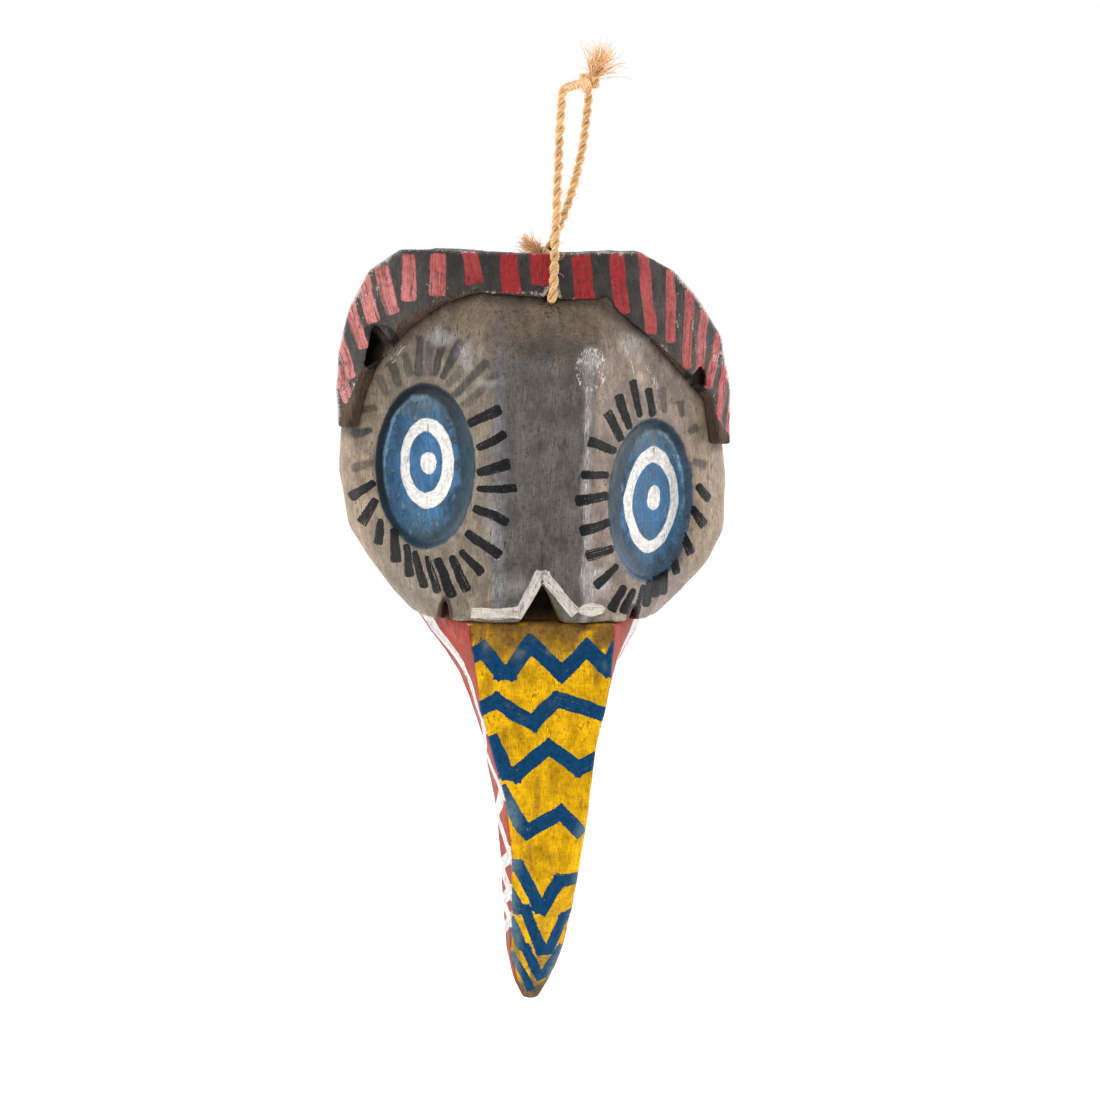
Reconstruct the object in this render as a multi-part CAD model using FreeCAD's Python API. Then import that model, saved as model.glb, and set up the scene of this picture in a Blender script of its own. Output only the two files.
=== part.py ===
import FreeCAD, Part
import math
import os

# A carved wooden bird mask on its hanging cord, in millimetres.
#
# The shapes are laid out in carving coordinates: x to the viewer's right, y back from the flat panel
# between the eyes, z up from the lower edge of the lip. The last step shifts everything so that the
# middle of the cord's top run, where the mask hangs, is the origin.

V = FreeCAD.Vector

# Driving dimensions
DEPTH = 95.0             # front panel to the back rim
LIP_Z = -2.0             # lower edge of the lip, where the beak begins
PANEL_HALF = 26.0        # half the width of the flat panel between the eyes
EYE_WIDTH = 70.0         # across the mouth of an eye dish
EYE_HEIGHT = 98.0
EYE_DEPTH = 4.5          # in the middle of a dish
FACET_ANGLE = 35.0       # how far each eye facet turns away from the front, in degrees
DISH_EXTRA_ANGLE = 7.0   # the dish floor turns this much further, so its outer side is the deepest
CREST_FRONT_Y = 12.0     # front of the crest at the middle
CREST_SWEEP = 42.0       # how far the crest falls back by its ends
CREST_HALF = 120.0
CREST_THICK = 28.0
HOLE_R = 3.75            # the cord's hole
CORD_D = 5.5
PEG_R = 4.0
TOP_KNOT_R = 7.5
BACK_KNOT_R = 7.0
HANG_POINT = V(19.5, 45, 314.3)  # under the middle of the cord's top run

# Half of the head's outline at each height: height, how much further the viewer's right cheek
# bulges, then (x, y) from the front to the back. The first point is the ridge of the front panel and
# the second is the outer edge of the eye facet. The last one lies behind the back rim, where a flat
# cut trims the block.
BEHIND = DEPTH + 3
PANEL = (PANEL_HALF, 0)
HEAD_LEVELS = [
    (LIP_Z, 6, [PANEL, (50, 11), (64, 31), (69, 46), (71, 62), (64, BEHIND)]),
    (12, 8, [PANEL, (57, 16), (74, 36), (83, 52), (84, 66), (76, BEHIND)]),
    (30, 12, [PANEL, (70, 29), (87, 45), (97, 59), (98, 71), (90, BEHIND)]),
    (50, 10, [PANEL, (84, 40), (100, 53), (110, 65), (111, 75), (101, BEHIND)]),
    (84, 4, [PANEL, (92, 46), (108, 58), (117, 68), (117, 78), (107, BEHIND)]),
    (120, 1, [PANEL, (92, 46), (107, 58), (115, 68), (115, 78), (105, BEHIND)]),
    (150, 0, [(27, 0), (86, 42), (101, 56), (110, 67), (110, 78), (100, BEHIND)]),
    (170, 0, [(32, 6), (78, 38), (92, 53), (102, 66), (102, 78), (93, BEHIND)]),
    (190, 0, [(38, 16), (68, 36), (80, 50), (90, 64), (91, 78), (83, BEHIND)]),
    (207, 0, [(30, 26), (50, 38), (60, 50), (66, 62), (66, 76), (60, BEHIND)]),
]
BULGE_SHARES = [0, 0, 0.5, 0.9, 1, 1]   # how much of the bulge each point of the outline takes

# The hollow for the wearer's face, as ellipses from the back to the front: y, middle z, half width,
# half height.
HOLLOW = [(DEPTH + 1, 99, 86, 86), (60, 97, 72, 74), (30, 95, 48, 54)]

EYES = [(-67.5, 89), (69, 70)]   # the middle of each eye dish: x on the facet, z
DISH_FLARE = 2.5                 # each half size of the dish's cutter over and under the dish's own
DISH_CUT = 14.0                  # from the dish's floor to the open end of its cutter

# The nostril, as triangles from the front to the back: y, foot z, half width, top z.
NOSTRIL_X = 1.5
NOSTRIL = [(-2, LIP_Z - 1, 14.5, 19), (18, LIP_Z - 1, 11.5, 26), (48, 24, 9.5, 49)]

# The V cut at each corner of the mouth.
MOUTH_CORNERS = [(-55, 14), (58, 9)]   # x, top z
MOUTH_CORNER_HALF = 3.5
MOUTH_CORNER_DEPTH = 9.0
MOUTH_CORNER_CLEAR = 8.0         # how far its cutter stands out in front of the jaw
MOUTH_CORNER_TURN = 25.0         # degrees away from the front
JAW_START = (50, 11)             # x, y of the jaw's face, which falls back from here
JAW_SLOPE = 1.19

# The crest's front outline, from one end round to the other: outer (x, z), inner (x, z).
CREST_STATIONS = [
    ((-119, 110), (-112, 110)),
    ((-120, 133), (-107, 134)),
    ((-119, 157), (-101, 149)),
    ((-114, 182), (-92, 160)),
    ((-103, 205), (-81, 172)),
    ((-84, 218), (-61, 187)),
    ((-56, 218), (-38, 193)),
    ((-26, 217), (-8, 193)),
    ((2, 217), (10, 191)),
    ((34, 219), (34, 189)),
    ((59, 219), (50, 180)),
    ((81, 208), (67, 168)),
    ((98, 190), (82, 155)),
    ((113, 168), (97, 142)),
    ((120, 135), (109, 132)),
    ((121, 103), (113, 103)),
]
CREST_CENTRE = V(0, 0, 100)      # the inner edge is bevelled towards this point
BEVEL_DOWN = (5.0, 9.0)          # the bevel's drop at the middle, and what the ends add
BEVEL_BACK = (8.0, 10.0)         # the bevel's depth at the middle, and what the ends add
CREST_BACK_SHARE = 0.95          # the back's upper corner lies this share of the way out
CREST_NOTCHES = [                # apex, then the two feet, all (x, z)
    ((-98, 173), (-104, 146), (-86, 158)),
    ((5, 201), (0, 180), (11, 180)),
    ((100, 152), (91, 140), (104, 138)),
]

# The beak from its root to its tip: z, middle x, half width of the front, y of the front, half width
# of the back, y of the back, x of the left and right edges of the central facet, and how far the
# front's outer edges fall back from it on the left and on the right.
BEAK_LEVELS = [
    (LIP_Z, 2, 44, 7, 71, 84, -41, 45, 0, 0),
    (-12, 2.5, 43.5, 5.5, 64.5, 70, -39, 45, 0, 0),
    (-24, 3, 42, 4, 55.5, 61, -38, 44, 0.5, 0.5),
    (-37, 3.5, 40.5, 2, 47.5, 54, -36, 43, 0.5, 0.5),
    (-54, 3, 38, 0, 40, 48, -34, 40, 1, 0.5),
    (-75, 3.2, 32, -4, 33, 42, -27, 34.5, 2, 1),
    (-111, 5.9, 24.8, -10, 28.5, 36, -11, 29, 5, 2),
    (-141, 5.3, 21, -12, 24.5, 32, -2, 21, 7, 4),
    (-171, 4.1, 19, -10, 21.5, 28, 3.5, 10, 9, 8),
    (-201, 1.5, 15.5, -2, 16.5, 25, 3, 4.5, 9, 9),
    (-219, 0.5, 10, 6, 11, 24, 0, 1.5, 7, 7),
    (-231, 0, 4.5, 14, 4.5, 22, -0.5, 0.5, 3, 3),
]
TENON = (44.0, 16.0, 14.0)       # width, depth, height
TENON_Y = 52.0                   # middle of the tenon
TENON_GAP = 0.5                  # above the tenon in its mortise
BEAK_PEG_X = 13.0
BEAK_PEG_LENGTH = 32.0
CREST_PEG_X = [-56, -22, 50]
CREST_PEG_Z = (190.0, 212.0)
CREST_PEG_INSET = 17.0           # from the crest's front to the middle of a peg

# The cord's route: from the knot behind the crest forward through the hole, up the front, over the
# top to the upper knot, and back down to the first knot.
HOLE_BACK = V(5, 62, 214)
HOLE_FRONT = V(5, 12, 188.6)
TOP_KNOT = V(33, 85, 321)
CORD_ROUTE = [
    HOLE_BACK,
    HOLE_FRONT,
    V(5.1, 2.5, 192),
    V(9, 18, 311.5),
    V(14, 32, 315.5),
    V(25, 58, 318.6),
    TOP_KNOT,
    V(33, 87.5, 303),
    V(28.5, 82, 273),
    V(19, 72, 241),
    V(8, 62, 219),
]
RUN_SHARE = 0.45                 # how much of the shorter run the arc at a corner takes

# Each frayed end: base, end, radius at the base, radius at the end.
TOP_TAIL = (TOP_KNOT + V(3, 0, 5), V(45, 85, 345), 3, 7)
BACK_TAIL = (HOLE_BACK + V(-4, 0, 4), V(-9, 62, 226), 3, 5)


def polygon(points):
    """A closed wire through the points."""
    return Part.makePolygon(points + [points[0]])


def loft(wires):
    """A solid with flat or ruled sides through the wires."""
    return Part.makeLoft(wires, True, True)


def ellipse(centre, along, up, half_width, half_height):
    """An elliptical wire in the plane of the two directions."""
    wire = Part.Wire(Part.Circle(V(0, 0, 0), V(0, 0, 1), 1).toShape())
    grow = FreeCAD.Matrix()
    for row, value in enumerate((along * half_width, up * half_height, along.cross(up))):
        grow.setCol(row, value)
    grow.setCol(3, centre)
    return wire.transformGeometry(grow)


def rod(start, end, radius):
    """A cylinder from one point to another."""
    return Part.makeCylinder(radius, (end - start).Length, start, end - start)


def head_outline(z, bulge, half):
    """The head's closed outline at one height, from its half and the right cheek's bulge."""
    right = [V(x + bulge * share, y, z) for (x, y), share in zip(half, BULGE_SHARES)]
    left = [V(-x, y, z) for x, y in reversed(half)]
    return polygon(right + left)


def eye_dish(x, z):
    """The cutter of one eye dish: it narrows from its mouth to its flat floor."""
    side = 1 if x > 0 else -1
    facet = math.radians(FACET_ANGLE)
    floor = math.radians(FACET_ANGLE + DISH_EXTRA_ANGLE)
    on_facet = V(x, (abs(x) - PANEL_HALF) * math.tan(facet), z)
    inward = V(-side * math.sin(floor), math.cos(floor), 0)
    along = V(side * math.cos(floor), math.sin(floor), 0)
    middle = on_facet + inward * EYE_DEPTH
    mouth = middle - inward * DISH_CUT
    up = V(0, 0, 1)
    return loft([
        ellipse(middle, along, up, EYE_WIDTH / 2 - DISH_FLARE, EYE_HEIGHT / 2 - DISH_FLARE),
        ellipse(mouth, along, up, EYE_WIDTH / 2 + DISH_FLARE, EYE_HEIGHT / 2 + DISH_FLARE),
    ])


def nostril():
    """The V-shaped opening of the lip, which slopes up and back into the hollow."""
    outer, knee, inner = [
        polygon([V(NOSTRIL_X - half, y, foot), V(NOSTRIL_X + half, y, foot), V(NOSTRIL_X, y, top)])
        for y, foot, half, top in NOSTRIL
    ]
    return loft([outer, knee]).fuse(loft([knee, inner]))


def mouth_corner(x, top):
    """A small V cut at one corner of the mouth."""
    side = 1 if x > 0 else -1
    turn = math.radians(MOUTH_CORNER_TURN)
    along = V(side * math.cos(turn), math.sin(turn), 0)
    inward = V(-side * math.sin(turn), math.cos(turn), 0)
    start_x, start_y = JAW_START
    face_y = start_y + (abs(x) - start_x) * JAW_SLOPE
    foot = V(x, face_y, LIP_Z - 1) - inward * MOUTH_CORNER_CLEAR
    triangle = polygon([
        foot - along * MOUTH_CORNER_HALF,
        foot + along * MOUTH_CORNER_HALF,
        foot + V(0, 0, top - LIP_Z + 1),
    ])
    return Part.Face(triangle).extrude(inward * (MOUTH_CORNER_CLEAR + MOUTH_CORNER_DEPTH))


def head_block():
    """The head before anything is cut into it, with its flat back."""
    log = loft([head_outline(*level) for level in HEAD_LEVELS])
    size = 600
    behind = Part.makeBox(size, size, size, V(-size / 2, DEPTH, -size / 2))
    return log.cut(behind)


def tenon(gap=0.0):
    """The beak's tenon, or its mortise when a gap is given."""
    width, depth, height = TENON
    corner = V(-width / 2, TENON_Y - depth / 2, LIP_Z - 1)
    return Part.makeBox(width, depth, height + 1 + gap, corner)


def beak_pegs():
    """Two dowels from front to back through the chin and the tenon."""
    z = LIP_Z + TENON[2] / 2
    start = TENON_Y - BEAK_PEG_LENGTH / 2
    return [rod(V(x, start, z), V(x, start + BEAK_PEG_LENGTH, z), PEG_R)
            for x in (-BEAK_PEG_X, BEAK_PEG_X)]


def crest_y(x):
    """The depth of the crest's front face at a distance from the middle."""
    return CREST_FRONT_Y + CREST_SWEEP * (x / CREST_HALF) ** 2


def crest_pegs():
    """Three upright dowels from the crest down into the head."""
    low, high = CREST_PEG_Z
    places = [(x, crest_y(x) + CREST_PEG_INSET) for x in CREST_PEG_X]
    return [rod(V(x, y, low), V(x, y, high), PEG_R) for x, y in places]


def crest_section(outer, inner, is_end):
    """The crest's cross-section: front face, bevelled lower edge, and the two back corners."""
    share = abs(inner[0]) / CREST_HALF
    drop = BEVEL_DOWN[0] + BEVEL_DOWN[1] * share
    back = BEVEL_BACK[0] + BEVEL_BACK[1] * share
    front_outer = V(outer[0], crest_y(outer[0]), outer[1])
    front_inner = V(inner[0], crest_y(inner[0]), inner[1])
    inwards = V(CREST_CENTRE.x - inner[0], 0, 0 if is_end else CREST_CENTRE.z - inner[1])
    bevel = front_inner + inwards.normalize() * drop + V(0, back, 0)
    back_inner = bevel + V(0, CREST_THICK - BEVEL_BACK[0] - BEVEL_BACK[0] * share, 0)
    back_outer = V(outer[0] * CREST_BACK_SHARE, front_outer.y + CREST_THICK, outer[1])
    return polygon([front_outer, front_inner, bevel, back_inner, back_outer])


def crest_notch(apex, foot_a, foot_b):
    """The cutter of one V notch in the crest's lower edge."""
    corners = [V(x, -5, z) for x, z in (apex, foot_a, foot_b)]
    return Part.Face(polygon(corners)).extrude(V(0, CREST_SWEEP + CREST_THICK, 0))


def crest_band():
    """The crest before the head's shape is taken out of it."""
    last = len(CREST_STATIONS) - 1
    return loft([crest_section(outer, inner, i in (0, last))
                 for i, (outer, inner) in enumerate(CREST_STATIONS)])


def beak_outline(z, cx, half_front, front_y, half_back, back_y, left, right, fall_left, fall_right):
    """The beak's closed outline at one height."""
    return polygon([
        V(cx - half_back, back_y, z),
        V(cx - half_front, front_y + fall_left, z),
        V(left, front_y, z),
        V(right, front_y, z),
        V(cx + half_front, front_y + fall_right, z),
        V(cx + half_back, back_y, z),
    ])


def beak_block():
    return loft([beak_outline(*level) for level in BEAK_LEVELS])


def corner_arc(before, corner, after):
    """The arc that rounds one corner of the route: its start, middle, end and radius."""
    incoming, outgoing = (before - corner).normalize(), (after - corner).normalize()
    taken = RUN_SHARE * min((corner - before).Length, (after - corner).Length)
    half = incoming.getAngle(outgoing) / 2
    radius = taken * math.tan(half)
    bisector = (incoming + outgoing).normalize()
    middle = corner + bisector * (radius / math.sin(half) - radius)
    return corner + incoming * taken, middle, corner + outgoing * taken, radius


def cord_path(points):
    """Straight runs joined by tangent arcs, and the radius at each corner."""
    edges, radii, last = [], [], points[0]
    for before, corner, after in zip(points, points[1:], points[2:]):
        start, middle, end, radius = corner_arc(before, corner, after)
        edges.append(Part.LineSegment(last, start).toShape())
        edges.append(Part.Arc(start, middle, end).toShape())
        radii.append(radius)
        last = end
    edges.append(Part.LineSegment(last, points[-1]).toShape())
    return Part.Wire(edges), radii


def cord_tube(points, diameter):
    """The cord as a plain round tube along its path."""
    path, radii = cord_path(points)
    circle = Part.Circle(points[0], points[1] - points[0], diameter / 2).toShape()
    tube = path.makePipeShell([Part.Wire(circle)], True, False, 2)
    expected = math.pi * diameter ** 2 / 4 * path.Length
    print("cord length", round(path.Length, 1), "volume share", round(tube.Volume / expected, 4))
    print("cord radii", [round(r, 1) for r in radii])
    return tube


def tuft(base, end, r_base, r_end):
    """The outer shape of a frayed end: it widens like a small brush."""
    return Part.makeCone(r_base, r_end, (end - base).Length, base, end - base)


def cut_all(shape, cutters):
    for cutter in cutters:
        shape = shape.cut(cutter)
    return shape


def build():
    reach = (HOLE_FRONT - HOLE_BACK) * 0.2
    hole = rod(HOLE_FRONT + reach, HOLE_BACK, HOLE_R)
    blank = head_block()
    hollow = loft([ellipse(V(0, y, z), V(1, 0, 0), V(0, 0, 1), w, h) for y, z, w, h in HOLLOW])
    dishes = [eye_dish(x, z) for x, z in EYES]
    corners = [mouth_corner(x, top) for x, top in MOUTH_CORNERS]
    notches = [crest_notch(*notch) for notch in CREST_NOTCHES]
    joinery = [tenon(TENON_GAP), hole] + beak_pegs() + crest_pegs()
    return {
        "head": cut_all(blank, [hollow, nostril()] + dishes + corners + joinery),
        "crest": cut_all(crest_band(), [blank, hole] + crest_pegs() + notches),
        "beak": cut_all(beak_block().fuse(tenon()), beak_pegs()),
        "beak_pegs": Part.makeCompound(beak_pegs()),
        "crest_pegs": Part.makeCompound(crest_pegs()),
        "hanging_cord": cord_tube(CORD_ROUTE, CORD_D),
        "top_knot": Part.makeSphere(TOP_KNOT_R, TOP_KNOT),
        "top_tail": tuft(*TOP_TAIL),
        "back_knot": Part.makeSphere(BACK_KNOT_R, HOLE_BACK),
        "back_tail": tuft(*BACK_TAIL),
    }


os.makedirs("parts", exist_ok=True)
for name, shape in build().items():
    shape.translate(-HANG_POINT)
    print(name, "solids", len(shape.Solids), "valid", shape.isValid(), "volume", round(shape.Volume))
    shape.exportStep("parts/" + name + ".step")
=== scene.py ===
import itertools
import math

import bpy
import numpy as np
from mathutils import Euler, Matrix, Vector
from mathutils.kdtree import KDTree


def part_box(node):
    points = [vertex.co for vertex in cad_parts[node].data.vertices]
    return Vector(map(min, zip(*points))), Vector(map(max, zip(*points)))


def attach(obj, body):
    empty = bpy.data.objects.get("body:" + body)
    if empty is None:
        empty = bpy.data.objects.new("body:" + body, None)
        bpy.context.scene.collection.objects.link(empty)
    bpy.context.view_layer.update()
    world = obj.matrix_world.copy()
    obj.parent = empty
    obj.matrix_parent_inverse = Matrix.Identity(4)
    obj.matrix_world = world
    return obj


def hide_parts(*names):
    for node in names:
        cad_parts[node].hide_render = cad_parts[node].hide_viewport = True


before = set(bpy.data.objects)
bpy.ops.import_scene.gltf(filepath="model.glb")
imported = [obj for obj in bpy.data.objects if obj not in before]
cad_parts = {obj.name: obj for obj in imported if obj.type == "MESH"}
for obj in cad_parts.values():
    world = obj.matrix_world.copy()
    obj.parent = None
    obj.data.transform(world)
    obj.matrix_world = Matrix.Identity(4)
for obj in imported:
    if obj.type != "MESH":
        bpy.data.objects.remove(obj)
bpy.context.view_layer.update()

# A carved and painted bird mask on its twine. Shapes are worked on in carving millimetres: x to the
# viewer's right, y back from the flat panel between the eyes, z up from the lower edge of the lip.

MM = 0.001
LIP_DROP = 2.0            # the head's lowest edge lies this far under the carving origin
DEPTH = 95.0              # front panel to the back rim
HEAD_VOXEL = 1.0          # face size of the head's surface
TRIM_VOXEL = 0.8          # and of the crest's and the beak's
head_low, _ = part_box("head")
peg_low, peg_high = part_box("beak_pegs")   # the two pegs lie evenly about the middle
ORIGIN = Vector(((peg_low.x + peg_high.x) / 2, head_low.y, head_low.z + LIP_DROP * MM))


def place(x, y, z):
    """A point of the carving frame, as a point of the row frame."""
    return ORIGIN + Vector((x, y, z)) * MM


# ---------------------------------------------------------------- camera

AZIMUTH = -6.0
ELEVATION = 5.0
ROLL = 1.0
CAMERA_DISTANCE = 2.1
LENS = 114.5
AIM = place(8.5, 30, 39.4)


def make_camera():
    azimuth, elevation = math.radians(AZIMUTH), math.radians(ELEVATION)
    direction = Vector((
        math.sin(azimuth) * math.cos(elevation),
        -math.cos(azimuth) * math.cos(elevation),
        math.sin(elevation),
    ))
    data = bpy.data.cameras.new("camera")
    data.lens = LENS
    camera = bpy.data.objects.new("camera", data)
    camera.location = AIM + direction * CAMERA_DISTANCE
    facing = (-direction).to_track_quat("-Z", "Y")
    camera.rotation_euler = (facing.to_matrix() @ Matrix.Rotation(math.radians(ROLL), 3, "Z")).to_euler()
    bpy.context.scene.collection.objects.link(camera)
    bpy.context.scene.camera = camera


make_camera()

# ---------------------------------------------------------------- shape tools

HASH = np.random.default_rng(5).random(4096)


def value_noise(points, size, seed=0):
    """Smooth noise from -1 to 1 whose features are about `size` across."""
    p = points / size
    cell = np.floor(p).astype(np.int64)
    part = p - cell
    part = part * part * (3 - 2 * part)
    total = np.zeros(len(p))
    for corner in itertools.product((0, 1), repeat=3):
        c = cell + corner
        key = c[:, 0] * 73856093 ^ c[:, 1] * 19349663 ^ c[:, 2] * 83492791 ^ (seed + 1) * 26544357
        weight = np.prod(np.where(corner, part, 1 - part), axis=1)
        total += HASH[key & 4095] * weight
    return total * 2 - 1


def fractal(points, size, octaves=3, seed=0):
    """Several sizes of noise added together."""
    return sum(value_noise(points, size / 2 ** k, seed + k) / 2 ** k for k in range(octaves)) / 1.6


def smooth_step(value, low, high):
    """0 below low, 1 above high and smooth between; low may be the larger one."""
    t = np.clip((value - low) / (high - low), 0, 1)
    return t * t * (3 - 2 * t)


class Skin:
    """A mesh as arrays: points in carving millimetres, four-sided faces and named values per point."""

    def __init__(self, points, quads):
        self.points = points
        self.quads = quads
        pairs = np.concatenate([quads[:, [i, (i + 1) % 4]] for i in range(4)])
        self.edges = np.unique(np.sort(pairs, axis=1), axis=0)
        self.degree = np.bincount(self.edges.ravel(), minlength=len(points))[:, None]
        self.values = {}

    def neighbour_mean(self, values):
        a, b = self.edges.T
        columns = [
            np.bincount(a, values[b, k], len(self.points)) + np.bincount(b, values[a, k], len(self.points))
            for k in range(values.shape[1])
        ]
        return np.stack(columns, axis=1) / self.degree

    def relaxed(self, rounds, weight=1.0, keep_size=False):
        """The points after some rounds of smoothing, which can alternate with swelling to keep the size."""
        points = self.points.copy()
        strength = np.broadcast_to(np.asarray(weight, float), (len(points),))[:, None]
        for _ in range(rounds):
            points += 0.6 * strength * (self.neighbour_mean(points) - points)
            if keep_size:
                points -= 0.608 * strength * (self.neighbour_mean(points) - points)
        return points

    def normals(self):
        a, b, c, d = (self.points[self.quads[:, i]] for i in range(4))
        face = np.cross(c - a, d - b)
        columns = [
            sum(np.bincount(self.quads[:, i], face[:, k], len(self.points)) for i in range(4))
            for k in range(3)
        ]
        normal = np.stack(columns, axis=1)
        return normal / np.maximum(np.linalg.norm(normal, axis=1, keepdims=True), 1e-12)

    def push(self, distance):
        """Move each point along its normal."""
        self.points = self.points + self.normals() * np.asarray(distance)[:, None]

    def convexity(self, rounds):
        """How far each point stands out from its smoothed surroundings, in millimetres."""
        return np.einsum("ij,ij->i", self.points - self.relaxed(rounds), self.normals())

    def scoops(self, count, stretch, seed):
        """0 at the middle of each tool mark, rising to about 1 at the ridges between the marks."""
        scaled = self.points / np.array(stretch)
        chosen = np.random.default_rng(seed).choice(len(scaled), count, replace=False)
        tree = KDTree(count)
        for i, index in enumerate(chosen):
            tree.insert(scaled[index], i)
        tree.balance()
        return np.array([tree.find(p)[2] for p in scaled]) ** 2


def remeshed(node, voxel):
    """A CAD node as a Skin of small even faces."""
    copy = bpy.data.objects.new("scratch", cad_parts[node].data.copy())
    bpy.context.scene.collection.objects.link(copy)
    modifier = copy.modifiers.new("remesh", "REMESH")
    modifier.mode = "VOXEL"
    modifier.voxel_size = voxel * MM
    mesh = bpy.data.meshes.new_from_object(copy.evaluated_get(bpy.context.evaluated_depsgraph_get()))
    bpy.data.objects.remove(copy)
    points = np.empty(len(mesh.vertices) * 3)
    mesh.vertices.foreach_get("co", points)
    quads = np.array([tuple(p.vertices) for p in mesh.polygons if len(p.vertices) == 4])
    bpy.data.meshes.remove(mesh)
    return Skin((points.reshape(-1, 3) - np.array(ORIGIN)) / MM, quads)


def mesh_piece(name, points, faces, values=None):
    """An object from arrays in carving millimetres, smooth shaded, with its values as attributes."""
    mesh = bpy.data.meshes.new(name)
    corners = np.asarray(points) * MM + np.array(ORIGIN)
    mesh.from_pydata(corners.tolist(), [], [list(map(int, face)) for face in faces])
    for key, value in (values or {}).items():
        kind, field = ("FLOAT_VECTOR", "vector") if np.ndim(value) == 2 else ("FLOAT", "value")
        attribute = mesh.attributes.new(key, kind, "POINT")
        attribute.data.foreach_set(field, np.ascontiguousarray(value, dtype=np.float32).ravel())
    mesh.shade_smooth()
    mesh.update()
    piece = bpy.data.objects.new(name, mesh)
    bpy.context.scene.collection.objects.link(piece)
    return piece


# ---------------------------------------------------------------- brush tools

def along_segment(flat, start, end):
    """Distance along and across a segment for each flat point, and the segment's length."""
    start, end = np.array(start, float), np.array(end, float)
    length = np.linalg.norm(end - start)
    direction = (end - start) / length
    offset = flat - start
    return offset @ direction, offset @ np.array([-direction[1], direction[0]]), length


def stroke(flat, start, end, width_start, width_end):
    """Signed distance to a flat brush stroke (negative inside), and its position along and across."""
    along, across, length = along_segment(flat, start, end)
    width = width_start + (width_end - width_start) * np.clip(along / length, 0, 1)
    beyond = np.maximum(-along, along - length)
    side = np.abs(across) - width / 2
    soft = 1.8
    corner = np.hypot(np.maximum(beyond + soft, 0), np.maximum(side + soft, 0)) - soft
    return np.where((beyond > -soft) & (side > -soft), corner, np.maximum(beyond, side)), along, across


def route_stroke(flat, route, width):
    """Signed distance to a stroke along a bent route, and the position along and across it."""
    best, along, across, start_at = (np.full(len(flat), 1e3), np.zeros(len(flat)), np.zeros(len(flat)), 0.0)
    for start, end in zip(route, route[1:]):
        run, aside, length = along_segment(flat, start, end)
        distance = np.maximum(np.abs(aside), 1.1 * np.abs(run - np.clip(run, 0, length)))
        nearer = distance < best
        best = np.where(nearer, distance, best)
        along = np.where(nearer, start_at + run, along)
        across = np.where(nearer, aside, across)
        start_at += length
    return best - width / 2, along, across


def oval(flat, centre, half_width, half_height, lean=0.0, power=2.0):
    """Roughly signed distance to an oval; lean turns its top to the right, in degrees."""
    turn = math.radians(lean)
    offset = flat - np.array(centre)
    x = offset[:, 0] * math.cos(turn) - offset[:, 1] * math.sin(turn)
    z = offset[:, 0] * math.sin(turn) + offset[:, 1] * math.cos(turn)
    reach = (np.abs(x / half_width) ** power + np.abs(z / half_height) ** power) ** (1 / power)
    return (reach - 1) * min(half_width, half_height)


def hand_drawn(points, amount, size, seed):
    """The front view of the points, shifted a little so that what is drawn there looks hand-made."""
    shift = [fractal(points, size, 2, seed + k) * amount for k in (0, 10)]
    return points[:, [0, 2]] + np.stack(shift, axis=1)


# ---------------------------------------------------------------- node tools

class Graph:
    """A material's nodes. Every call adds one node and gives back its output socket."""

    def __init__(self, name, **shader_values):
        self.material = bpy.data.materials.new(name)
        self.material.use_nodes = True
        self.tree = self.material.node_tree
        self.shader = self.tree.nodes["Principled BSDF"]
        for key, value in shader_values.items():
            self.shader.inputs[key.replace("_", " ")].default_value = value
        place_in_mm = self.add("TexCoord", output="Object")
        self.at = self.add("VectorMath", {0: place_in_mm, "Scale": 1 / MM}, operation="SCALE")

    def add(self, kind, sockets=None, output=0, **settings):
        node = self.tree.nodes.new("ShaderNode" + kind)
        for key, value in settings.items():
            setattr(node, key, value)
        for key, value in (sockets or {}).items():
            self.feed(node.inputs[key], value)
        return node.outputs[output]

    def feed(self, socket, value):
        if isinstance(value, bpy.types.NodeSocket):
            self.tree.links.new(value, socket)
        elif socket.type == "RGBA":
            socket.default_value = (*value, 1)
        else:
            socket.default_value = value

    def attribute(self, name, output="Fac"):
        return self.add("Attribute", output=output, attribute_name=name)

    def math(self, operation, a, b=0.0):
        return self.add("Math", {0: a, 1: b}, operation=operation)

    def plus(self, a, b):
        return self.math("ADD", a, b)

    def minus(self, a, b):
        return self.math("SUBTRACT", a, b)

    def product(self, a, b):
        return self.math("MULTIPLY", a, b)

    def times(self, colour, factor):
        return self.add("VectorMath", {0: colour, "Scale": factor}, operation="SCALE")

    def mix(self, factor, a, b):
        return self.add("Mix", {0: factor, 6: a, 7: b}, 2, data_type="RGBA")

    def ramp(self, value, low, high, to_low=0.0, to_high=1.0):
        return self.add("MapRange", {
            "Value": value, "From Min": low, "From Max": high, "To Min": to_low, "To Max": to_high,
        }, interpolation_type="SMOOTHSTEP")

    def noise(self, size, stretch=(1, 1, 1), detail=3.0, at=None):
        """Noise whose features are about `size` millimetres across, longer along each stretch."""
        shape = tuple(1 / (size * s) for s in stretch)
        spot = self.add("VectorMath", {0: at or self.at, 1: shape}, operation="MULTIPLY")
        return self.add("TexNoise", {"Vector": spot, "Scale": 1.0, "Detail": detail}, "Fac")

    def finish(self, colour, height_mm, roughness):
        bump = self.add("Bump", {"Height": height_mm, "Distance": MM}, "Normal")
        for key, value in (("Base Color", colour), ("Normal", bump), ("Roughness", roughness)):
            self.feed(self.shader.inputs[key], value)
        return self.material


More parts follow.
